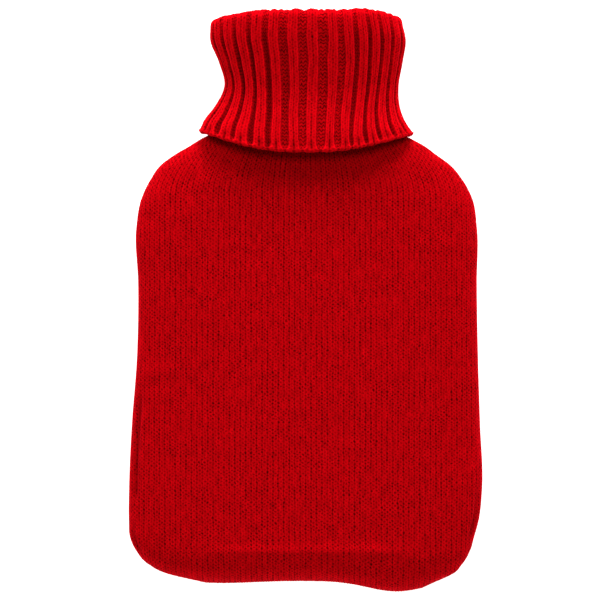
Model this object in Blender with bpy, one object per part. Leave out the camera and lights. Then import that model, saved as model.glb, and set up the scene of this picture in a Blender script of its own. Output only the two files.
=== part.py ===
"""Hot water bottle cover: a knitted front and back panel and a folded 2x2 rib collar.

The cover lies on its back on the ground plane, with the neck towards +Y and the front up.
Metres, +Z up. The origin is under the middle of the cover.
"""

import math

import bmesh
import bpy

MM = 0.001

# The cloth
PANEL_CLOTH = 2.5 * MM
COLLAR_CLOTH = 3.0 * MM
SEAM_GAP = 0.3 * MM
WOOL_RED = (0.40, 0.003, 0.006, 1.0)
WOOL_ROUGHNESS = 0.9

# The body, in sections across it from the neck edge to the bottom seam. left and right are how far
# the section reaches from the middle, top and floor are its highest and lowest points, and
# squareness is its superellipse exponent.
BODY_SECTIONS = (
    # y,    left,  right,  top,  floor, squareness
    (104.5, 45.3, 45.3, 33.5, 5.5, 2.2),
    (100.5, 49.0, 49.0, 34.0, 5.5, 2.3),
    (97.0, 54.0, 54.5, 34.5, 5.5, 2.5),
    (93.0, 61.5, 62.5, 35.0, 5.5, 2.7),
    (89.4, 67.2, 69.0, 35.4, 4.5, 2.8),
    (84.0, 76.4, 76.4, 35.9, 2.4, 3.0),
    (78.9, 83.5, 83.5, 36.4, 0.8, 3.1),
    (70.2, 90.0, 91.0, 37.2, 0.0, 3.2),
    (59.5, 95.2, 96.8, 38.0, 0.0, 3.2),
    (41.6, 98.5, 99.8, 38.8, 0.0, 3.2),
    (10.0, 97.4, 99.7, 39.0, 0.0, 3.2),
    (-34.0, 98.1, 100.4, 39.0, 0.0, 3.2),
    (-72.0, 101.0, 101.6, 38.8, 0.0, 3.2),
    (-110.0, 102.7, 102.8, 38.5, 0.0, 3.2),
    (-129.0, 102.8, 100.7, 38.2, 0.0, 3.2),
    (-138.0, 102.2, 98.2, 38.0, 0.0, 3.2),
    (-146.0, 98.6, 95.8, 38.0, 0.0, 3.2),
    (-153.5, 91.9, 91.2, 38.0, 0.0, 3.2),
    (-159.5, 79.5, 84.0, 38.0, 0.0, 3.2),
    (-163.8, 58.0, 68.0, 38.0, 0.0, 3.2),
)
PRESSED_FLAT = 3.0 * MM
END_ROUND = 22.0 * MM
END_SQUARENESS = 2.5
FRONT_COLUMNS = 20
BACK_COLUMNS = 16

# The two lobes that the bottom edge hangs in
BOTTOM_LOBES = (
    # x,   width, drop
    (-48.0, 26.0, 1.3),
    (53.0, 24.0, 6.2),
)
LOBE_START = -110.0 * MM

# The outer layer of the collar, from its hem (0) to the start of the fold (1). gather draws the ribs
# together at the middle of the front and back.
COLLAR_SECTIONS = (
    # along, left, right, top, squareness, gather
    (0.00, 62.0, 62.8, 46.2, 3.2, 0.26),
    (0.10, 58.9, 58.4, 45.2, 3.0, 0.20),
    (0.21, 53.8, 55.6, 43.4, 2.7, 0.12),
    (0.43, 47.4, 54.4, 41.8, 2.4, 0.00),
    (0.65, 50.4, 56.8, 44.0, 2.3, 0.00),
    (0.87, 55.6, 58.5, 46.8, 2.3, 0.06),
    (1.00, 55.5, 56.6, 47.4, 2.3, 0.08),
)
# The inner layer, from the fold down to the neck edge of the body
NECK_SECTIONS = (
    # y,    left, right, top, floor, squareness
    (131.0, 43.2, 49.5, 36.8, 6.0, 2.2),
    (104.8, 45.3, 45.3, 33.5, 5.5, 2.2),
)
HEM_FRONT = 84.8 * MM
HEM_SIDE = 97.0 * MM
HEM_BACK = 92.0 * MM
FOLD_TOP = 169.9 * MM
FOLD_DROP_AT_SIDES = 5.5 * MM
FOLD_DEPTH = 9.0 * MM
FOLD_STEPS = 4

# The ribs: two knit wales stand up, and two purl wales lie low. VALLEYS are where the purl wales lie,
# in degrees round the collar from the middle of the front.
VALLEYS = (
    -2.0, 10.5, 22.5, 32.0, 41.5, 51.0, 62.0, 75.0, 90.0, 105.0, 119.0, 133.0, 146.0, 159.0,
    172.0, 185.0, 198.0, 211.0, 225.0, 240.0, 255.0, 270.0, 284.0, 297.0, 310.0, 322.0, 333.5, 345.5,
)  # fmt: skip
RIB_RISE = 1.6 * MM
# share of a rib from one valley's middle to the next, share of RIB_RISE that the place is sunk
RIB_CORNERS = ((0.18, 1.0), (0.27, 0.0), (0.73, 0.0), (0.82, 1.0))


def clear_scene():
    for old in list(bpy.data.objects):
        bpy.data.objects.remove(old, do_unlink=True)


def wool(name):
    material = bpy.data.materials.new(name)
    material.use_nodes = True
    shader = material.node_tree.nodes["Principled BSDF"]
    shader.inputs["Base Color"].default_value = WOOL_RED
    shader.inputs["Roughness"].default_value = WOOL_ROUGHNESS
    shader.inputs["Metallic"].default_value = 0.0
    shader.inputs["Sheen Weight"].default_value = 0.4
    return material


def loft(mesh, sections, around):
    """Joins closed sections into one skin, and returns them as vertices."""
    rings = [[mesh.verts.new(point) for point in section] for section in sections]
    following = rings[1:] + rings[:1] if around else rings[1:]
    for ring, next_ring in zip(rings, following):
        for i, corner in enumerate(ring):
            mesh.faces.new((ring[i - 1], corner, next_ring[i], next_ring[i - 1]))
    return rings


def close_strip(mesh, ring):
    """Fills a section that runs out along one side of the cloth and back along the other."""
    half = len(ring) // 2
    for i in range(half - 1):
        mesh.faces.new((ring[i], ring[i + 1], ring[-2 - i], ring[-1 - i]))


def cloth_object(name, mesh):
    bmesh.ops.recalc_face_normals(mesh, faces=mesh.faces)
    if mesh.calc_volume(signed=True) < 0:
        bmesh.ops.reverse_faces(mesh, faces=mesh.faces)
    data = bpy.data.meshes.new(name)
    mesh.to_mesh(data)
    mesh.free()
    data.shade_smooth()
    data.set_sharp_from_angle(angle=math.radians(50))
    data.materials.append(wool(name + "_wool"))
    cloth = bpy.data.objects.new(name, data)
    bpy.context.scene.collection.objects.link(cloth)
    return cloth


def section_height(side, reach, top, floor, squareness, depth, rounding=1.0):
    """Height of a cloth skin that lies this deep under the outer face.

    side is 1 on the front and -1 on the back, and reach runs from -1 to 1 across the section.
    """
    middle = (top + floor - PRESSED_FLAT) / 2
    swell = (top - floor + PRESSED_FLAT) / 2 - depth
    bow = (1 - min(abs(reach), 1.0) ** squareness) ** (1 / squareness)
    height = middle + side * swell * bow * rounding
    return max(height, floor + depth) if side < 0 else height


def bottom_rounding(y):
    """How much of its full height a section of the body has, which falls to none at the bottom seam."""
    seam = BODY_SECTIONS[-1][0] * MM
    inward = max(0.0, 1 - (y - seam) / END_ROUND)
    return (1 - inward**END_SQUARENESS) ** (1 / END_SQUARENESS)


def body_point(section, side, reach, depth):
    y, left, right, top, floor, squareness = section
    y = y * MM
    seam = BODY_SECTIONS[-1][0] * MM
    half_width = (right if reach > 0 else left) * MM - depth
    near_end = max(0.0, (LOBE_START - y) / (LOBE_START - seam))
    x = half_width * reach
    lobes = sum(drop * math.exp(-(((x / MM - at) / width) ** 2)) for at, width, drop in BOTTOM_LOBES)
    z = section_height(side, reach, top * MM, floor * MM, squareness, depth, bottom_rounding(y))
    return x, y + (depth - lobes * MM) * near_end, z + (SEAM_GAP if side > 0 else 0.0)


def panel(name, side, columns):
    """One knitted panel, from the side seams at mid-thickness to the crown or the flat back."""
    # Even steps of this angle put more of the columns where the section turns down to the seams
    reaches = [-math.cos(math.pi * i / columns) for i in range(columns + 1)]
    reaches = [0.75 * reach + 0.25 * reach**3 for reach in reaches]
    mesh = bmesh.new()
    sections = []
    for section in BODY_SECTIONS:
        outer = [body_point(section, side, reach, 0.0) for reach in reaches]
        inner = [body_point(section, side, reach, PANEL_CLOTH) for reach in reversed(reaches)]
        sections.append(outer + inner)
    rings = loft(mesh, sections, around=False)
    close_strip(mesh, rings[0])
    close_strip(mesh, rings[-1])
    return cloth_object(name, mesh)


def collar_point(angle, left, right, top, floor, squareness, gather, y, depth):
    """A point of the collar, at an angle that is 0 at the middle of the front and grows to the right."""
    reach = math.sin(angle) * (1 - gather * math.cos(angle) ** 2)
    side = 1 if math.cos(angle) >= 0 else -1
    half_width = (right if reach > 0 else left) * MM - depth
    return half_width * reach, y, section_height(side, reach, top * MM, floor * MM, squareness, depth)


def hem_y(angle):
    """The hem hangs lowest at the middle of the front."""
    middle = HEM_FRONT if math.cos(angle) >= 0 else HEM_BACK
    return middle + (HEM_SIDE - middle) * abs(math.sin(angle)) ** 3


def collar_profile(angle, share_sunk):
    """The closed cut through the folded collar at one angle, with its outer face sunk in a valley."""
    fold_y = FOLD_TOP - FOLD_DEPTH / 2 - FOLD_DROP_AT_SIDES * abs(math.sin(angle)) ** 4
    sunk = RIB_RISE * share_sunk
    void = FOLD_DEPTH / 2 - COLLAR_CLOTH

    def outer(section, depth):
        along, left, right, top, squareness, gather = section
        y = hem_y(angle) + (fold_y - hem_y(angle)) * along
        return collar_point(angle, left, right, top, 0.0, squareness, gather, y, depth)

    def fold(turn, radius):
        along, left, right, top, squareness, gather = COLLAR_SECTIONS[-1]
        depth = FOLD_DEPTH / 2 - radius * math.cos(turn)
        y = fold_y + radius * math.sin(turn)
        return collar_point(angle, left, right, top, 0.0, squareness, gather, y, depth)

    def inner(section, depth):
        y, left, right, top, floor, squareness = section
        return collar_point(angle, left, right, top, floor, squareness, 0.0, y * MM, depth)

    turns = [math.pi * (i + 1) / FOLD_STEPS for i in range(FOLD_STEPS)]
    points = [outer(section, sunk) for section in COLLAR_SECTIONS]
    points += [fold(turn, FOLD_DEPTH / 2 - sunk * (1 + math.cos(turn)) / 2) for turn in turns]
    points += [inner(section, COLLAR_CLOTH) for section in NECK_SECTIONS]
    points += [inner(section, 0.0) for section in reversed(NECK_SECTIONS)]
    points += [fold(turn, void) for turn in (math.pi, math.pi / 2, 0.0)]
    points += [outer(section, COLLAR_CLOTH) for section in reversed(COLLAR_SECTIONS[:-1])]
    return points


def collar(name):
    mesh = bmesh.new()
    sections = []
    for valley, next_valley in zip(VALLEYS, VALLEYS[1:] + (VALLEYS[0] + 360,)):
        for share, sunk in RIB_CORNERS:
            angle = math.radians(valley + (next_valley - valley) * share)
            sections.append(collar_profile(angle, sunk))
    loft(mesh, sections, around=True)
    return cloth_object(name, mesh)


clear_scene()
panel("front_panel", 1, FRONT_COLUMNS)
panel("back_panel", -1, BACK_COLUMNS)
collar("rib_collar")
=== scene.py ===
# Knitted hot water bottle cover: two stockinette panels and a folded rib collar
import math

import bpy
import numpy as np
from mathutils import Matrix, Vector


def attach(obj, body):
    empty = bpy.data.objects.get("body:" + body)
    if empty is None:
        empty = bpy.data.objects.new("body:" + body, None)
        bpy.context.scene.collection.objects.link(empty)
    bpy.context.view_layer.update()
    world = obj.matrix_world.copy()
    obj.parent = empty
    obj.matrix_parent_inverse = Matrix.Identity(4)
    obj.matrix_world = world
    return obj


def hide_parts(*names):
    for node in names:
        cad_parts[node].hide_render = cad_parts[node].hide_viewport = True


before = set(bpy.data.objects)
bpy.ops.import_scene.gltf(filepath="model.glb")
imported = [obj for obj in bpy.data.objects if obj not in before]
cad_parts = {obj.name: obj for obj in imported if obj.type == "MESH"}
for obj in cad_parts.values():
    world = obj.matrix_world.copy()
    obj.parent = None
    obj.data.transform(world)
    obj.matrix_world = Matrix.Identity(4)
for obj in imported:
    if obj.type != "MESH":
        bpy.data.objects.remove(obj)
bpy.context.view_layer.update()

mm = 0.001

# The stitches, the same in every piece. Lengths are in mm.
knit = {
    "waleWidth": 3.14,  # one column of stitches on the body
    "courseHeight": 2.2,  # one row of stitches
    "gutterDepth": 0.62,  # hole between two wales
    "centreDepth": 0.50,  # hole inside a stitch
    "bridgeDepth": 0.22,  # where yarn crosses between two holes
    "evenShare": 0.72,  # share of these depths in even cloth
    "slackShare": 0.45,  # what slack cloth adds to that share
    "legBend": 0.055,  # how far a leg bows round a hole, in wales
    "jitter": 0.10,  # how far a stitch strays
    "seed": 11,
}


# Values of the table's columns at each position, on a smooth curve through its rows
def smoothRows(table, at, start, end):
    rows = np.array(sorted(table, key=lambda row: row[0]), float)
    place, values = rows[:, 0], rows[:, 1:]
    slopes = np.gradient(values, place, axis=0)
    at = np.clip(at, start, end)
    i = np.clip(np.searchsorted(place, at) - 1, 0, len(place) - 2)
    span = (place[i + 1] - place[i])[:, None]
    t = ((at - place[i])[:, None]) / span
    low, high = values[i], values[i + 1]
    return (
        low * (2 * t**3 - 3 * t**2 + 1)
        + slopes[i] * span * (t**3 - 2 * t**2 + t)
        + high * (3 * t**2 - 2 * t**3)
        + slopes[i + 1] * span * (t**3 - t**2)
    )


def smoothStep(value):
    t = np.clip(value, 0, 1)
    return t * t * (3 - 2 * t)


# Smooth random values from -1 to 1, with about this many bumps down and across
def unevenness(shape, bumps, seed):
    grid = np.random.default_rng(seed).uniform(-1, 1, (bumps[0] + 3, bumps[1] + 3))

    def spread(values, count, size):
        place = np.linspace(0, size, count, endpoint=False)
        i = place.astype(int)
        ease = smoothStep(place - i)[:, None]
        return values[i] * (1 - ease) + values[i + 1] * ease

    return spread(spread(grid, shape[0], bumps[0] + 1).T, shape[1], bumps[1] + 1).T


# Outward normals of a grid of points, rows by columns
def surfaceNormals(points, around):
    if around:
        across = np.roll(points, -1, axis=1) - np.roll(points, 1, axis=1)
    else:
        across = np.gradient(points, axis=1)
    normals = np.cross(across, np.gradient(points, axis=0))
    length = np.linalg.norm(normals, axis=2, keepdims=True)
    return normals / np.maximum(length, 1e-9)


# The four corners of each quad in a grid of point numbers
def quadCorners(index):
    corners = (index[:-1, :-1], index[:-1, 1:], index[1:, 1:], index[1:, :-1])
    return np.stack(corners, axis=2).reshape(-1, 4)


# A cloth mesh from a grid of points in mm, with its stitch coordinates as UVs
def clothObject(name, points, stitches, attributes, around, flip=False):
    rows, columns = points.shape[:2]
    index = np.arange(rows * columns).reshape(rows, columns)
    if around:
        index = np.hstack([index, index[:, :1]])
        walesRound = stitches[0, -1, 0] + stitches[0, 1, 0] - 2 * stitches[0, 0, 0]
        stitches = np.hstack([stitches, stitches[:, :1] + np.array([walesRound, 0])])
    quads = quadCorners(index)
    uvQuads = quadCorners(np.arange(index.size).reshape(index.shape))
    if flip:
        quads, uvQuads = quads[:, ::-1], uvQuads[:, ::-1]
    flat = points.reshape(-1, 3) * mm
    a, b, c, d = (flat[quads[:, i]] for i in range(4))
    area = np.linalg.norm(np.cross(c - a, d - b), axis=1) / 2
    kept = area > 1e-9  # a quad that closes up to a line or a point is left out
    quads, uvQuads = quads[kept], uvQuads[kept]
    mesh = bpy.data.meshes.new(name)
    mesh.vertices.add(len(flat))
    mesh.vertices.foreach_set("co", flat.astype(np.float32).ravel())
    mesh.loops.add(quads.size)
    mesh.loops.foreach_set("vertex_index", quads.astype(np.int32).ravel())
    mesh.polygons.add(len(quads))
    mesh.polygons.foreach_set("loop_start", np.arange(0, quads.size, 4, dtype=np.int32))
    uv = mesh.uv_layers.new(name="stitches")
    uv.data.foreach_set("uv", stitches.reshape(-1, 2)[uvQuads.ravel()].astype(np.float32).ravel())
    for label, values in attributes.items():
        layer = mesh.attributes.new(label, "FLOAT", "POINT")
        values = np.broadcast_to(values, (rows, columns)).astype(np.float32)
        layer.data.foreach_set("value", values.ravel())
    mesh.update(calc_edges=True)
    mesh.validate()
    mesh.shade_smooth()
    piece = bpy.data.objects.new(name, mesh)
    bpy.context.scene.collection.objects.link(piece)
    return piece


# Height of each point and how far a leg bows there, on 2 rows and 4 columns of points a stitch
def stitchRelief(rows, columns, slack):
    j = np.arange(rows)[:, None] % 2
    k = np.arange(columns)[None, :] % 4
    gutter = np.where(j == 0, knit["gutterDepth"], knit["bridgeDepth"])
    centre = np.where(j == 1, knit["centreDepth"], knit["bridgeDepth"])
    depth = np.where(k == 0, gutter, np.where(k == 2, centre, 0.0))
    bend = np.where(k == 1, 1.0, np.where(k == 3, -1.0, 0.0)) * np.where(j == 0, 1.0, -1.0)
    return -depth * (knit["evenShare"] + knit["slackShare"] * slack), bend * knit["legBend"]


# Stitch coordinates of each point, in wales and courses
def stitchGrid(wale, rows):
    grid = np.broadcast_arrays(wale[None, :], np.arange(rows)[:, None] / 2)
    return np.stack(grid, axis=2)


# The panels, in sections across the body from the neck edge to the bottom seam. Lengths are in mm.
bodyShape = {
    "sections": (  # y, left, right, top, floor, squareness
        (104.5, 45.3, 45.3, 33.5, 5.5, 2.2),
        (100.5, 49.0, 49.0, 34.0, 5.5, 2.3),
        (97.0, 54.0, 54.5, 34.5, 5.5, 2.5),
        (93.0, 61.5, 62.5, 35.0, 5.5, 2.7),
        (89.4, 67.2, 69.0, 35.4, 4.5, 2.8),
        (84.0, 76.4, 76.4, 35.9, 2.4, 3.0),
        (78.9, 83.5, 83.5, 36.4, 0.8, 3.1),
        (70.2, 90.0, 91.0, 37.2, 0.0, 3.2),
        (59.5, 95.2, 96.8, 38.0, 0.0, 3.2),
        (41.6, 98.5, 99.8, 38.8, 0.0, 3.2),
        (10.0, 97.4, 99.7, 39.0, 0.0, 3.2),
        (-34.0, 98.1, 100.4, 39.0, 0.0, 3.2),
        (-72.0, 101.0, 101.6, 38.8, 0.0, 3.2),
        (-110.0, 102.7, 102.8, 38.5, 0.0, 3.2),
        (-129.0, 102.8, 100.7, 38.2, 0.0, 3.2),
        (-138.0, 102.2, 98.2, 38.0, 0.0, 3.2),
        (-146.0, 98.6, 95.8, 38.0, 0.0, 3.2),
        (-153.5, 91.9, 91.2, 38.0, 0.0, 3.2),
        (-159.5, 79.5, 84.0, 38.0, 0.0, 3.2),
        (-163.8, 58.0, 68.0, 38.0, 0.0, 3.2),
    ),
    "pressedFlat": 3.0,  # how far the round back is pressed flat
    "endRound": 22.0,  # length of the turn down to the bottom seam
    "endHeight": 20.0,
    "endSquareness": 2.5,
    "lobes": ((-48.0, 26.0, 1.3), (53.0, 24.0, 6.2)),  # x, width, drop
    "lobeStart": -110.0,
    "wales": 76,
    "shoulderGather": 0.42,  # how much narrower the wales are at the neck edge
    "shoulderStart": 60.0,
    "shoulderEase": 1.8,
    "slack": (  # bumps down, bumps across, seed step, amount
        (24, 16, 0, 0.6),
        (70, 30, 5, 0.5),
    ),
    "strayAcross": 0.6,  # shares of the jitter
    "strayDown": 0.5,
    "seamFade": 2.2,  # length over which the stitches flatten towards a seam
    "underside": (0.25, 2.0),  # relief left where it lies, and height over which it comes back
    "creases": (  # side, from y, to y, distance in from the edge, width, depth
        (-1, -119.0, -44.0, 3.8, 1.5, 1.8),
        (-1, -151.0, -120.0, 2.6, 1.1, 1.2),
        (1, 28.0, 47.0, 2.8, 1.1, 1.2),
        (1, -142.0, -101.0, 2.8, 1.2, 1.4),
    ),
    "creaseFades": (8.0, 24.0),  # length over which a crease dies away at its foot and its head
    # Painted shade along the creases
    "creaseShade": 0.6,
    "turnRidge": (-145.5, 3.2, 1.0, 62.0, 12.0),  # y, width, rise, half length, fade at its ends
    "collarShade": (18.0, 50.0, 58.0, 0.22),  # from y, over this length, half width, strength of the painted shade below the collar
}


# Half a section from its crown out to the seam: reach across, height and distance along the cloth
def halfSection(width, middle, swell, squareness, samples=64):
    turn = np.linspace(0, math.pi / 2, samples)[None, :]
    power = 2 / squareness[:, None]
    across = width[:, None] * np.sin(turn) ** power
    height = middle[:, None] + swell[:, None] * np.cos(turn) ** power
    steps = np.hypot(np.diff(across, axis=1), np.diff(height, axis=1))
    return across, height, np.hstack([np.zeros((len(width), 1)), np.cumsum(steps, axis=1)])


# From the bottom seam to the neck edge: y, share of full height, and distance along the cloth
def bodyRun(seam, neck, samples=80):
    shape = bodyShape
    turn = np.linspace(0, math.pi / 2, samples)
    power = 2 / shape["endSquareness"]
    y = np.append(seam + shape["endRound"] * (1 - np.cos(turn) ** power), neck)
    share = np.append(np.sin(turn) ** power, 1.0)
    steps = np.hypot(np.diff(y), np.diff(share) * shape["endHeight"])
    return y, share, np.append(0, np.cumsum(steps))


# What shows on the panel besides its stitches: the height of the ridge and the creases, painted shade
# below the collar and painted shade along the creases
def panelMarks(side, x, y, lobedY, left, right):
    shape = bodyShape
    ridgeY, ridgeWidth, rise, halfLength, endFade = shape["turnRidge"]
    ridge = np.exp(-(((lobedY - ridgeY) / ridgeWidth) ** 2))
    ridge = ridge * smoothStep((halfLength - np.abs(x)) / endFade)
    height = rise * ridge * (side > 0)
    fromY, overY, shadeWidth, shade = shape["collarShade"]
    # Painted shade on the cloth below the collar
    paintedShading = shade * smoothStep((y - fromY) / overY)[:, None] * np.exp(-((x / shadeWidth) ** 4))
    footFade, headFade = shape["creaseFades"]
    for hand, low, high, inset, wide, depth in shape["creases"]:
        halfWidth = (left if hand < 0 else right)[:, None]
        line = np.exp(-(((halfWidth - hand * x - inset) / wide) ** 2))
        line = line * smoothStep((y - low) / footFade)[:, None]
        line = line * smoothStep((high - y) / headFade)[:, None] * (side > 0)
        # Each crease sinks the cloth and gets painted shade along it
        height, paintedShading = height - depth * line, paintedShading + shape["creaseShade"] * line
    return height, paintedShading


# One stockinette panel, its wales running from the neck edge to the bottom seam
def knitPanel(name, side):
    shape = bodyShape
    seed = knit["seed"] + side
    seam, neck = shape["sections"][-1][0], shape["sections"][0][0]
    yRun, shareRun, alongRun = bodyRun(seam, neck)
    rows = int(round(alongRun[-1] / knit["courseHeight"])) * 2 + 1
    along = np.linspace(alongRun[-1], 0, rows)
    y = np.interp(along, alongRun, yRun)
    share = np.interp(along, alongRun, shareRun)
    left, right, top, floor, squareness = smoothRows(shape["sections"], y, seam, neck).T
    middle = (top + floor - shape["pressedFlat"]) / 2
    swell = (top - floor + shape["pressedFlat"]) / 2 * share
    upShoulder = np.clip((y - shape["shoulderStart"]) / (neck - shape["shoulderStart"]), 0, 1)
    gather = 1 - shape["shoulderGather"] * upShoulder ** shape["shoulderEase"]

    # Stitches are counted out from the middle, each a little out of place
    columns = shape["wales"] * 4 + 1
    wale = np.arange(columns) / 4 - shape["wales"] / 2
    slack = sum(
        unevenness((rows, columns), (down, across), seed + step) * amount
        for down, across, step, amount in shape["slack"]
    )
    relief, bend = stitchRelief(rows, columns, slack)
    stray = np.random.default_rng(seed + 9).normal(0, knit["jitter"], (2, rows, columns))
    distance = (wale[None, :] + bend) * knit["waleWidth"] * gather[:, None]
    distance = distance + stray[0] * shape["strayAcross"]

    x, z, edge = (np.zeros((rows, columns)) for _ in range(3))
    for width, hand, mine in ((left, -1, wale < 0), (right, 1, wale >= 0)):
        across, height, length = halfSection(width, middle, side * swell, squareness)
        for r in range(rows):
            out = np.clip(np.abs(distance[r, mine]), 0, length[r, -1])
            x[r, mine] = hand * np.interp(out, length[r], across[r])
            z[r, mine] = np.interp(out, length[r], height[r])
            edge[r, mine] = length[r, -1] - out
    if side < 0:
        z = np.maximum(z, floor[:, None])
    nearEnd = np.clip((shape["lobeStart"] - y) / (shape["lobeStart"] - seam), 0, None)[:, None]
    drop = sum(depth * np.exp(-(((x - at) / wide) ** 2)) for at, wide, depth in shape["lobes"])
    points = np.stack([x, y[:, None] - drop * nearEnd, z], axis=2)

    # Relief dies away at the seams and where the back lies on the table
    fade = smoothStep(np.minimum(edge, along[:, None]) / shape["seamFade"])
    if side < 0:
        reliefLeft, backOver = shape["underside"]
        fade = fade * smoothStep(reliefLeft + (z - floor[:, None]) / backOver)
    marks, paintedShading = panelMarks(side, x, y, points[:, :, 1], left, right)
    points = points + surfaceNormals(points, False) * -side * (relief * fade + marks)[:, :, None]
    points[:, :, 1] += stray[1] * shape["strayDown"] * fade
    points[:, :, 2] = np.maximum(points[:, :, 2], 0.0)  # nothing goes below the table
    attributes = {"purl": 0.0, "paintedShading": paintedShading}
    piece = clothObject(name, points, stitchGrid(wale, rows), attributes, around=False, flip=side > 0)
    runs = halfSection(np.maximum(left, right), middle, swell, squareness)[2]
    return piece, (2 * float(np.max(runs)) * mm, float(alongRun[-1]) * mm)


# The collar: a tube of 2x2 rib, folded down over itself. Lengths are in mm.
collarShape = {
    "sections": (  # share of the way up from the hem, left, right, top, squareness, gather
        (0.00, 62.0, 62.8, 46.2, 3.2, 0.26),
        (0.10, 58.9, 58.4, 45.2, 3.0, 0.20),
        (0.21, 53.8, 55.6, 43.4, 2.7, 0.12),
        (0.43, 47.4, 54.4, 41.8, 2.4, 0.00),
        (0.65, 50.4, 56.8, 44.0, 2.3, 0.00),
        (0.87, 55.6, 58.5, 46.8, 2.3, 0.06),
        (1.00, 55.5, 56.6, 47.4, 2.3, 0.08),
    ),
    "neck": (  # left, right, top, floor: midway down the inside, and at its end
        (43.2, 49.5, 36.8, 6.0),
        (45.3, 45.3, 33.5, 5.5),
    ),
    "neckSquareness": 2.2,
    "neckInset": 1.5,
    "neckY": 103.4,
    "height": 75.0,  # from the hem to the fold
    "hemFront": 84.8,
    "hemSide": 97.0,
    "hemBack": 92.0,
    "hemLean": 1.6,  # how much lower the hem hangs on the right
    "foldTop": 169.6,
    "foldDrop": 5.5,
    "foldDepth": 9.0,
    "foldSag": 2.3,  # how much lower the fold lies in the middle and on the left
    "sagEnd": (0.35, 0.5),  # where the sag starts to die away to the right, and over how much
    "sagLost": 0.4,  # how much less it sags at the very side
    "valleys": (  # where each valley lies round the collar, in degrees from the middle of the front
        -2.0, 10.5, 22.5, 32.0, 41.5, 51.0, 62.0, 75.0, 90.0, 105.0, 119.0, 133.0, 146.0, 159.0,
        172.0, 185.0, 198.0, 211.0, 225.0, 240.0, 255.0, 270.0, 284.0, 297.0, 310.0, 322.0, 333.5, 345.5,
    ),
    "wander": 0.012,  # how far a rib strays sideways, in radians
    "wanderBumps": 9,  # bends in a rib, from one end of the tube to the other
    "raisedAtFront": 0.57,  # share of a rib that stands up, where the rib is stretched open
    "raisedAtSide": 0.74,
    "raisedAtHem": 0.97,
    "stretched": (0.25, 0.3),  # how far out the rib stays stretched, and over how much it closes
    "valleyDepth": 3.1,
    "wallDepth": 1.3,
    "ridgeRound": 0.4,
    "liftAtFold": 0.3,  # share of the rib's depth at the fold, just past it and down inside
    "liftPastFold": 0.15,
    "liftInside": 0.55,
    "stretchedPale": 0.65,  # how much less painted shade a valley gets where it is stretched, and right at the side
    "sidePale": 0.6,
    "sideFrom": (0.98, 0.015),  # share of the half width where the side begins, and over how much
    # Painted shade on the walls of the valleys, and a painted highlight on the outer legs of each ridge
    "wallShade": 0.4,
    "ridgeHighlight": 0.4,
    "foldHighlight": 0.35,  # painted highlight along the fold
    "rimRows": 8.0,
    "hemEdgeRadius": 1.5,
    "hemTurnUnder": 3.0,
    "underGap": 1.4,  # how far the turned edge stands clear of the valleys
    "hemClosing": 5.0,  # the length over which the valleys close above the hem
    "slitDepth": 1.2,  # the hole at the foot of each rib
    "slitEdge": 0.3,  # share of that depth on each side of it
    # Painted shade in each slit
    "slitShade": 0.8,
    "scallop": 0.5,
    "scallopRows": 6.0,
    "underRows": 3,
    "edgeRows": 6,
    "outerCourses": 36,
    "foldCourses": 6,
    "innerCourses": 24,
    "slack": (26, 70, 0.7),  # bumps down, bumps across, amount
    "strayDown": 0.6,  # share of the jitter
    "knobs": 0.6,  # how far single stitches stand out of the fold
    "knobBumps": (40, 150),
}


# x and z of the collar at an angle round it, this deep under its outer face
def collarSection(angle, left, right, top, floor, squareness, gather, depth):
    reach = np.sin(angle) * (1 - gather * np.cos(angle) ** 2)
    side = np.where(np.cos(angle) >= 0, 1.0, -1.0)
    pressed = bodyShape["pressedFlat"]
    middle = (top + floor - pressed) / 2
    swell = (top - floor + pressed) / 2 - depth
    bow = (1 - np.minimum(np.abs(reach), 1) ** squareness) ** (1 / squareness)
    height = middle + side * swell * bow
    height = np.where(side < 0, np.maximum(height, floor + depth), height)
    return (np.where(reach < 0, left, right) - depth) * reach, height


# The rows of the collar in order: zone, share of the zone, and share of the rib's full depth
def collarRows():
    shape = collarShape
    atFold, pastFold, inside = shape["liftAtFold"], shape["liftPastFold"], shape["liftInside"]
    rows = []  # the ribs flatten towards the fold and come up again inside
    for zone, count in (("under", shape["underRows"]), ("edge", shape["edgeRows"])):
        rows += [(zone, i / count, 0.0) for i in range(count)]
    for i in range(shape["outerCourses"] * 2):
        t = i / (shape["outerCourses"] * 2)
        rows.append(("outer", t, 1.0 - (1.0 - atFold) * smoothStep((t - 0.8) / 0.2)))
    for i in range(shape["foldCourses"] * 2):
        t = i / (shape["foldCourses"] * 2)
        rows.append(("fold", t, atFold - (atFold - pastFold) * smoothStep(t * 2)))
    for i in range(shape["innerCourses"] * 2 + 1):
        t = i / (shape["innerCourses"] * 2)
        rows.append(("inner", t, pastFold + (inside - pastFold) * smoothStep(t * 4)))
    return rows


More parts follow.
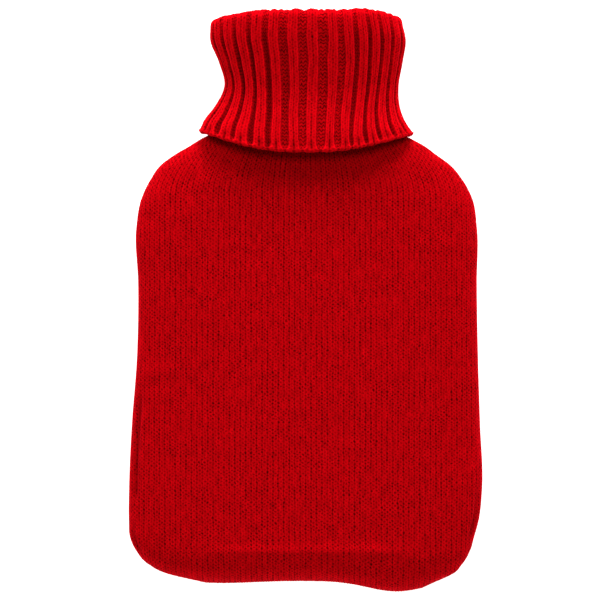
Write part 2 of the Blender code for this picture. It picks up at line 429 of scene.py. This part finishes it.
# One row of points, round the whole tube
def collarPoints(zone, t, angle):
    shape = collarShape
    sine = np.abs(np.sin(angle))
    hemMiddle = np.where(np.cos(angle) >= 0, shape["hemFront"], shape["hemBack"])
    hemY = hemMiddle + (shape["hemSide"] - hemMiddle) * sine**3
    hemY = hemY - shape["hemLean"] * np.clip(np.sin(angle), 0, 1) ** 4
    foldY = shape["foldTop"] - shape["foldDepth"] / 2 - shape["foldDrop"] * sine**4
    sagFrom, sagOver = shape["sagEnd"]
    fromLeft = 1 - smoothStep((np.sin(angle) - sagFrom) / sagOver)
    foldY = foldY - shape["foldSag"] * fromLeft * (1 - shape["sagLost"] * sine**4)
    radius, roll = shape["hemEdgeRadius"], shape["foldDepth"] / 2
    hem, fold = np.array(shape["sections"][0][1:]), np.array(shape["sections"][-1][1:])
    if zone == "under":
        rise = shape["hemTurnUnder"] * (1 - t)
        section = smoothRows(shape["sections"], np.array([rise / shape["height"]]), 0, 1)[0]
        y, depth = hemY + radius + rise, 2 * radius + shape["underGap"] * (1 - t)
    elif zone == "edge":
        section, y = hem, hemY + radius * (1 - math.sin(math.pi * t))
        depth = radius * (1 + math.cos(math.pi * t))
    elif zone == "outer":
        section = smoothRows(shape["sections"], np.array([t]), 0, 1)[0]
        y, depth = hemY + radius + (foldY - hemY - radius) * t, 0.0
    elif zone == "fold":
        section, y = fold, foldY + roll * math.sin(math.pi * t)
        depth = roll * (1 - math.cos(math.pi * t))
    else:
        section, depth = fold, 2 * roll
        y = foldY + (shape["neckY"] - foldY) * t
    left, right, top, squareness, gather = section
    x, z = collarSection(angle, left, right, top, 0.0, squareness, gather, depth)
    if zone == "inner":
        mid, end = (
            collarSection(angle, *neck, shape["neckSquareness"], 0.0, shape["neckInset"])
            for neck in shape["neck"]
        )
        x = x * (1 - t) ** 2 + mid[0] * 2 * t * (1 - t) + end[0] * t**2
        z = z * (1 - t) ** 2 + mid[1] * 2 * t * (1 - t) + end[1] * t**2
    return np.stack([x, y + 0 * x, z], axis=1)


# Where a row's points lie round the collar, with this share of each rib standing up
def ribAngles(inRib, middle, width, raised):
    knitSide = (inRib - 1) / 2 * raised
    purlSide = raised / 2 + (inRib - 2) / 2 * (1 - raised)
    return middle + width * np.where(inRib <= 2, knitSide, purlSide)


# How deep each column of a rib lies, with painted shade in the valleys and on their walls and a painted
# highlight on the ridges' outer legs
def ribSection(inRib, valley, wall, stretched, atSide):
    shape = collarShape
    outerLeg = (inRib == 0.25) | (inRib == 1.75)
    drop = valley * shape["valleyDepth"] + wall * shape["wallDepth"] + outerLeg * shape["ridgeRound"]
    paintedShading = valley * (1 - shape["stretchedPale"] * stretched - shape["sidePale"] * atSide)
    return drop, paintedShading + wall * shape["wallShade"] - outerLeg * shape["ridgeHighlight"]


# The small hole at the foot of each rib, deepest where the valleys are half closed
def ribSlit(inRib, closing):
    besideSlit = (inRib == 0.75) | (inRib == 1.25)
    return np.where(inRib == 1, 1.0, np.where(besideSlit, collarShape["slitEdge"], 0.0)) * closing


# How near each row is to this one, falling away over this many rows
def nearRow(rows, row, width):
    return np.exp(-(((np.arange(len(rows)) - row) / width) ** 2))[:, None]


# The folded tube of rib: under the hem, up the outside, over the fold and down to the neck edge
def ribCollar(name):
    shape = collarShape
    ribs, perRib = len(shape["valleys"]), 16
    columns = ribs * perRib
    wale = np.arange(columns) / 4
    inRib = wale % 4  # the two knit wales are 0 to 2, and the two purl wales 2 to 4
    rows = collarRows()
    outerRows, foldRows = shape["outerCourses"] * 2, shape["foldCourses"] * 2
    firstOuter = shape["underRows"] + shape["edgeRows"]
    wander = unevenness((len(rows), columns), (shape["wanderBumps"], ribs), knit["seed"] + 30)
    wander = wander * shape["wander"]
    valleys = np.radians(np.append(shape["valleys"], shape["valleys"][0] + 360))
    before, after = (np.repeat(edge, perRib) for edge in (valleys[:-1], valleys[1:]))
    middle = (before + after) / 2
    stretchedTo, closesOver = shape["stretched"]
    stretched = 1 - smoothStep((np.abs(np.sin(middle)) - stretchedTo) / closesOver)
    aboveRaised = shape["raisedAtSide"] + (shape["raisedAtFront"] - shape["raisedAtSide"]) * stretched
    points, lift, closing = [], [], []
    for i, (zone, t, height) in enumerate(rows):
        aboveHem = max(0, i - firstOuter) * shape["height"] / outerRows
        rounding = min(1.0, aboveHem / shape["hemClosing"])
        opening = math.sqrt(1 - (1 - rounding) ** 2)
        raised = aboveRaised * opening + shape["raisedAtHem"] * (1 - opening)
        angle = ribAngles(inRib, middle, after - before, raised) + wander[i]
        points.append(collarPoints(zone, t, angle))
        lift.append(height * (rounding > 0))
        closing.append(4 * rounding * (1 - rounding))
    points = np.array(points)
    lift, closing = np.array(lift)[:, None], np.array(closing)[:, None]

    # Ridges, walls and valleys, and a small slit at the foot of each rib
    down, across, amount = shape["slack"]
    slack = unevenness(points.shape[:2], (down, across), knit["seed"] + 21) * amount
    relief = stitchRelief(len(rows), columns, slack)[0]
    valley, wall = inRib > 2.1, (inRib == 0) | (inRib == 2)
    sideFrom, sideOver = shape["sideFrom"]
    atSide = smoothStep((np.abs(np.sin(after)) - sideFrom) / sideOver)
    drop, paintedShading = ribSection(inRib, valley, wall, stretched, atSide)
    relief = np.where(valley | wall, 0.0, relief)
    slit = ribSlit(inRib, closing)
    height = relief - drop * lift - slit * shape["slitDepth"]
    points = points + surfaceNormals(points, True) * height[:, :, None]

    # Stitches stray, stand out of the fold and scallop the hem
    stray = np.random.default_rng(knit["seed"] + 31).normal(0, knit["jitter"], points.shape[:2])
    atFold = np.array([zone == "fold" for zone, _, _ in rows])[:, None]
    knobs = unevenness(points.shape[:2], shape["knobBumps"], knit["seed"] + 41) * shape["knobs"] * atFold
    points[:, :, 1] += stray * shape["strayDown"] + knobs
    nearHem = nearRow(rows, firstOuter - shape["edgeRows"] // 2, shape["scallopRows"])
    points[:, :, 1] -= shape["scallop"] * np.cos(math.pi * (inRib - 1) / 2) * nearHem
    points[:, :, 2] = np.maximum(points[:, :, 2], 0.0)
    # Painted shade in the valleys and slits, and a painted highlight along the fold
    nearFold = nearRow(rows, firstOuter + outerRows + foldRows // 4, shape["rimRows"])
    paintedShading = paintedShading * lift + slit * shape["slitShade"] - shape["foldHighlight"] * nearFold
    attributes = {"purl": valley.astype(float)[None, :], "paintedShading": paintedShading}
    piece = clothObject(name, points, stitchGrid(wale, len(rows)), attributes, around=True)
    course = points[firstOuter + outerRows // 2]
    girth = np.linalg.norm(np.roll(course, -1, axis=0) - course, axis=1).sum()
    length = np.linalg.norm(np.diff(points[:, perRib // 2], axis=0), axis=1).sum()
    return piece, (girth * mm, length * mm)


# The yarn, and each way it is knitted. Colours are linear.
yarn = {
    "stockinette": {"leg": (0.64, 0.0003, 0.0036, 1.0), "paintedShadeStrength": 0.68, "openness": 1.0},
    # The rib's legs are a paler copy of the same red, painted light on the collar
    "rib": {"leg": (0.69, 0.0004, 0.0040, 1.0), "paintedShadeStrength": 0.63, "openness": 0.7},
    "gap": (0.095, 0.0001, 0.0005, 1.0),  # painted shade: the colour put in the holes and the fine lines between the yarns
    "gapSharpness": 0.75,
    "patchAmount": 0.10,
    "mottleAmount": 1.05,
    "roughness": 0.85,
    "specular": 0.01,
    "sheen": 0.6,
    "sheenRoughness": 0.45,
    "sheenTint": (1.0, 0.004, 0.02, 1.0),
    "bumpStrength": 0.5,
    "bumpDistance": 0.0004,
}

# How the stitches show. Scales in the cloth are cycles a stitch, across and down.
stitchLook = {
    "stray": (0.45, 1.5, 0.0),  # how far a stitch strays across and down
    "strayScale": 0.7,
    "legBow": -0.04,  # in wales
    "leastOpen": 0.3,
    "chance": (0.5, -0.28),  # each hole's own share, and what all lose
    "looseAreas": (0.22, 1.0, (1.0, 0.8, 1.0), 0.65),  # scale, detail, stretch, amount
    "looseCourses": (1.0, 0.0, (0.1, 0.9, 1.0), 0.5),
    "purlZigzag": 0.24,  # how far a purl thread swings, in courses
    "runStretch": (2.1, 0.16, 1.0),  # the fine lines of painted shade down the cloth
    "runDepth": (1.5, -0.3),
    "runSharpness": 2.2,
    "gutterShare": (0.35, 0.65),  # the painted shade is darker in the gutters than inside the wales
    "patchScale": 70.0,  # cycles a metre, like the other two scales
    "mottleScale": 330.0,
    "fibreScale": 2600.0,
    "mottleStretch": (1.25, 0.8, 1.0),
    "legStretch": (2.3, 0.3, 1.0),
    "mottleShares": (0.25, 0.75),  # of the dye, and of the light along each leg
    "plyTurns": (2.0, 3.0),  # plies in a stitch, across and down
    "heights": (0.10, 0.35, 0.8),  # plies, loose fibres and holes
}


# Nodes are set out in rows of eight as they are made
def addNode(tree, kind, **values):
    row, column = divmod(len(tree.nodes), 8)
    node = tree.nodes.new(kind)
    node.location = (column * 200, row * -260)
    for key, value in values.items():
        setattr(node, key, value)
    return node


# A Math node fed by sockets or plain numbers, and its output socket
def calculate(tree, operation, *inputs):
    node = addNode(tree, "ShaderNodeMath", operation=operation)
    for socket, value in zip(node.inputs, inputs):
        if isinstance(value, (int, float)):
            socket.default_value = value
        else:
            tree.links.new(value, socket)
    return node.outputs[0]


def addNoise(tree, source, scale, detail, stretch=(1.0, 1.0, 1.0)):
    mapping = addNode(tree, "ShaderNodeMapping")
    mapping.inputs["Scale"].default_value = stretch
    tree.links.new(source, mapping.inputs["Vector"])
    texture = addNode(tree, "ShaderNodeTexNoise")
    texture.inputs["Scale"].default_value = scale
    texture.inputs["Detail"].default_value = detail
    tree.links.new(mapping.outputs["Vector"], texture.inputs["Vector"])
    return texture.outputs["Fac"]


# Where a stitch is drawn, since none sits quite in its place: its wale and its course
def strayedStitch(tree, stitch):
    wander = addNode(tree, "ShaderNodeTexNoise")
    wander.inputs["Scale"].default_value = stitchLook["strayScale"]
    tree.links.new(stitch, wander.inputs["Vector"])
    centred = addNode(tree, "ShaderNodeVectorMath", operation="SUBTRACT")
    centred.inputs[1].default_value = (0.5, 0.5, 0.5)
    tree.links.new(wander.outputs["Color"], centred.inputs[0])
    moved = addNode(tree, "ShaderNodeVectorMath", operation="MULTIPLY_ADD")
    moved.inputs[1].default_value = stitchLook["stray"]
    tree.links.new(centred.outputs[0], moved.inputs[0])
    tree.links.new(stitch, moved.inputs[2])
    split = addNode(tree, "ShaderNodeSeparateXYZ")
    tree.links.new(moved.outputs[0], split.inputs[0])
    return split.outputs[0], split.outputs[1]


# How far each hole is open or drawn shut
def holeOpenness(tree, stitch, u, v):
    cell = addNode(tree, "ShaderNodeCombineXYZ")
    column = calculate(tree, "ROUND", calculate(tree, "MULTIPLY", u, 2.0))
    course = calculate(tree, "FLOOR", calculate(tree, "ADD", v, 0.25))
    tree.links.new(column, cell.inputs[0])
    tree.links.new(course, cell.inputs[1])
    chance = addNode(tree, "ShaderNodeTexWhiteNoise", noise_dimensions="2D")
    tree.links.new(cell.outputs[0], chance.inputs["Vector"])
    shown = calculate(tree, "MULTIPLY_ADD", chance.outputs["Value"], *stitchLook["chance"])
    for key in ("looseAreas", "looseCourses"):
        scale, detail, stretch, amount = stitchLook[key]
        loose = addNoise(tree, stitch, scale, detail, stretch)
        shown = calculate(tree, "MULTIPLY_ADD", loose, amount, shown)
    return calculate(tree, "MAXIMUM", shown, stitchLook["leastOpen"])


# The stitch pattern that the panels and the collar share
def knittedYarn():
    look = stitchLook
    group = bpy.data.node_groups.new("knittedYarn", "ShaderNodeTree")
    for label in ("Stitch", "Purl", "Sharpness", "Openness"):
        kind = "NodeSocketVector" if label == "Stitch" else "NodeSocketFloat"
        group.interface.new_socket(label, in_out="INPUT", socket_type=kind)
    for label in ("Gap", "Patch", "Mottle", "Height"):
        group.interface.new_socket(label, in_out="OUTPUT", socket_type="NodeSocketFloat")
    given = addNode(group, "NodeGroupInput").outputs
    result = addNode(group, "NodeGroupOutput").inputs
    stitch = given["Stitch"]

    def do(operation, *inputs):
        return calculate(group, operation, *inputs)

    def turns(value):
        return do("MULTIPLY", value, 2 * math.pi)

    # Holes between wales and inside stitches, in a staggered lattice, with the legs bowed round them, to
    # be filled with painted shade
    u, v = strayedStitch(group, stitch)
    downWave = do("COSINE", turns(v))
    bow = do("MULTIPLY", downWave, do("SINE", turns(u)))
    acrossWave = do("COSINE", turns(do("MULTIPLY_ADD", bow, look["legBow"], u)))
    across = do("ABSOLUTE", acrossWave)
    lattice = do("MAXIMUM", do("MULTIPLY", acrossWave, downWave), 0.0)
    holes = do("POWER", do("MULTIPLY", lattice, do("MULTIPLY", across, across)), given["Sharpness"])
    shown = do("MULTIPLY", holeOpenness(group, stitch, u, v), given["Openness"])
    holes = do("MULTIPLY", holes, shown)

    # A purl course is a zigzag thread with painted shade in the gaps above and below it
    zigzag = do("COSINE", turns(do("MULTIPLY_ADD", acrossWave, look["purlZigzag"], v)))
    purlGaps = do("MULTIPLY", do("MAXIMUM", zigzag, 0.0), given["Purl"])
    notPurl = do("SUBTRACT", 1.0, given["Purl"])
    gaps = do("MULTIPLY_ADD", holes, notPurl, purlGaps)

    # The gutters and the middles of the wales get fine lines of painted shade down the cloth
    runs = do("MULTIPLY_ADD", addNoise(group, stitch, 1.0, 2.0, look["runStretch"]), *look["runDepth"])
    gutter = do("MULTIPLY_ADD", acrossWave, *look["gutterShare"])
    runs = do("MULTIPLY", do("MULTIPLY", runs, gutter), notPurl)
    lines = do("MULTIPLY", do("POWER", across, look["runSharpness"]), runs)
    gap = do("MINIMUM", do("ADD", gaps, lines), 1.0)
    group.links.new(gap, result["Gap"])

    # Uneven dye, and light along the legs
    place = addNode(group, "ShaderNodeTexCoord").outputs["Object"]
    group.links.new(addNoise(group, place, look["patchScale"], 3.0), result["Patch"])
    dyeShare, legShare = look["mottleShares"]
    dye = addNoise(group, place, look["mottleScale"], 2.0, look["mottleStretch"])
    legs = addNoise(group, stitch, 1.0, 1.0, look["legStretch"])
    mottle = do("ADD", do("MULTIPLY", dye, dyeShare), do("MULTIPLY", legs, legShare))
    group.links.new(mottle, result["Mottle"])

    # Twisted plies, loose fibres and the depth of the holes
    pliesAcross, pliesDown = look["plyTurns"]
    plyHeight, fibreHeight, holeDepth = look["heights"]
    lean = do("MULTIPLY_ADD", u, pliesAcross, do("MULTIPLY", v, pliesDown))
    plies = do("MULTIPLY", do("COSINE", turns(lean)), plyHeight)
    fibres = do("MULTIPLY", addNoise(group, place, look["fibreScale"], 2.0), fibreHeight)
    height = do("SUBTRACT", do("ADD", plies, fibres), do("MULTIPLY", gap, holeDepth))
    group.links.new(height, result["Height"])
    return group


def woolMaterial(name, group, cloth):
    material = bpy.data.materials.new(name)
    material.use_nodes = True
    tree = material.node_tree
    shader = tree.nodes["Principled BSDF"]
    shader.inputs["Roughness"].default_value = yarn["roughness"]
    shader.inputs["Specular IOR Level"].default_value = yarn["specular"]
    shader.inputs["Sheen Weight"].default_value = yarn["sheen"]
    shader.inputs["Sheen Roughness"].default_value = yarn["sheenRoughness"]
    shader.inputs["Sheen Tint"].default_value = yarn["sheenTint"]
    stitch = addNode(tree, "ShaderNodeUVMap", uv_map="stitches")
    purl = addNode(tree, "ShaderNodeAttribute", attribute_name="purl")
    paintedShading = addNode(tree, "ShaderNodeAttribute", attribute_name="paintedShading")
    pattern = addNode(tree, "ShaderNodeGroup", node_tree=group)
    pattern.inputs["Sharpness"].default_value = yarn["gapSharpness"]
    pattern.inputs["Openness"].default_value = cloth["openness"]
    tree.links.new(stitch.outputs["UV"], pattern.inputs["Stitch"])
    tree.links.new(purl.outputs["Fac"], pattern.inputs["Purl"])
    # The legs' red, with the painted shade colour in the holes, the purl gaps and the fine lines between
    # the yarns
    shade = addNode(tree, "ShaderNodeMix", data_type="RGBA")
    shade.inputs["A"].default_value = cloth["leg"]
    shade.inputs["B"].default_value = yarn["gap"]
    tree.links.new(pattern.outputs["Gap"], shade.inputs["Factor"])
    patch, mottle = (
        calculate(tree, "MULTIPLY_ADD", pattern.outputs[label], amount, 1 - amount / 2)
        for label, amount in (("Patch", yarn["patchAmount"]), ("Mottle", yarn["mottleAmount"]))
    )
    # Painted shade and painted highlight from the mesh's shading attribute: darker where it is above
    # zero, paler below
    depth = calculate(tree, "MULTIPLY_ADD", paintedShading.outputs["Fac"], -cloth["paintedShadeStrength"], 1.0)
    level = calculate(tree, "MULTIPLY", calculate(tree, "MULTIPLY", patch, mottle), depth)
    tone = addNode(tree, "ShaderNodeMix", data_type="RGBA", blend_type="MULTIPLY")
    tone.inputs["Factor"].default_value = 1.0
    tree.links.new(shade.outputs["Result"], tone.inputs["A"])
    tree.links.new(level, tone.inputs["B"])
    tree.links.new(tone.outputs["Result"], shader.inputs["Base Color"])
    bump = addNode(tree, "ShaderNodeBump")
    bump.inputs["Strength"].default_value = yarn["bumpStrength"]
    bump.inputs["Distance"].default_value = yarn["bumpDistance"]
    tree.links.new(pattern.outputs["Height"], bump.inputs["Height"])
    tree.links.new(bump.outputs["Normal"], shader.inputs["Normal"])
    return material


# The camera, the lights and the table. Lengths are in metres.
studio = {
    "cameraHeight": 2.2,
    "frameWidth": 0.3493,  # what the camera sees, at the height of the side seam
    "frameCentre": (-0.0032, -0.0003),
    "seamHeight": 0.018,
    "lights": (  # name, place, size, watts
        ("overheadSoftbox", (0.05, 1.90, 4.30), 2.0, 71.0),
        ("neckSoftbox", (0.40, 3.20, 1.05), 1.4, 116.0),
        ("footSoftbox", (0.0, -3.00, 0.90), 1.4, 37.0),
        ("leftSoftbox", (-1.60, 1.40, 0.45), 0.8, 16.0),
        ("rightSoftbox", (1.60, 1.00, 0.45), 0.8, 4.0),
    ),
    "lightsAimAt": (0.0, 0.0, 0.02),
    "sky": 0.10,
    "floorSize": 6.0,
    "floorHeight": -0.0004,
    "paper": (0.9, 0.9, 0.9, 1.0),
    "paperRoughness": 0.9,
    "floorGlow": 1.0,  # the paper is lit to plain white
}


def setCamera():
    lens = bpy.data.cameras.new("camera")
    lens.sensor_width = 36.0
    distance = studio["cameraHeight"] - studio["seamHeight"]
    lens.lens = lens.sensor_width * distance / studio["frameWidth"]
    lens.clip_end = 20.0
    camera = bpy.data.objects.new("camera", lens)
    camera.location = (*studio["frameCentre"], studio["cameraHeight"])
    bpy.context.scene.collection.objects.link(camera)
    bpy.context.scene.camera = camera


def areaLight(name, place, size, watts):
    light = bpy.data.lights.new(name, "AREA")
    light.size = size
    light.energy = watts
    lamp = bpy.data.objects.new(name, light)
    lamp.location = place
    aim = Vector(studio["lightsAimAt"]) - Vector(place)
    lamp.rotation_euler = aim.to_track_quat("-Z", "Y").to_euler()
    bpy.context.scene.collection.objects.link(lamp)


def setSky():
    world = bpy.data.worlds.new("studio")
    world.use_nodes = True
    sky = world.node_tree.nodes["Background"]
    sky.inputs["Color"].default_value = (1, 1, 1, 1)
    sky.inputs["Strength"].default_value = studio["sky"]
    bpy.context.scene.world = world
    bpy.context.scene.view_settings.view_transform = "Standard"


def setFloor():
    place = (0, 0, studio["floorHeight"])
    bpy.ops.mesh.primitive_plane_add(size=studio["floorSize"], location=place)
    floor = bpy.context.active_object
    floor.name = "tableTop"
    paper = bpy.data.materials.new("whitePaper")
    paper.use_nodes = True
    shader = paper.node_tree.nodes["Principled BSDF"]
    shader.inputs["Base Color"].default_value = studio["paper"]
    shader.inputs["Roughness"].default_value = studio["paperRoughness"]
    shader.inputs["Specular IOR Level"].default_value = 0.0
    shader.inputs["Emission Color"].default_value = (1, 1, 1, 1)
    shader.inputs["Emission Strength"].default_value = studio["floorGlow"]
    floor.data.materials.append(paper)


print("studio")
setCamera()
for light in studio["lights"]:
    areaLight(*light)
setSky()
setFloor()

print("yarn")
group = knittedYarn()
stockinette = woolMaterial("redStockinette", group, yarn["stockinette"])
rib = woolMaterial("redRib", group, yarn["rib"])

print("panels")
for name, node, side in (("frontPanel", "front_panel", 1), ("backPanel", "back_panel", -1)):
    piece, flat = knitPanel(name, side)
    piece.data.materials.append(stockinette)
    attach(piece, "root")
    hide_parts(node)

print("collar")
piece, flat = ribCollar("ribCollar")
piece.data.materials.append(rib)
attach(piece, "root")
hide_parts("rib_collar")
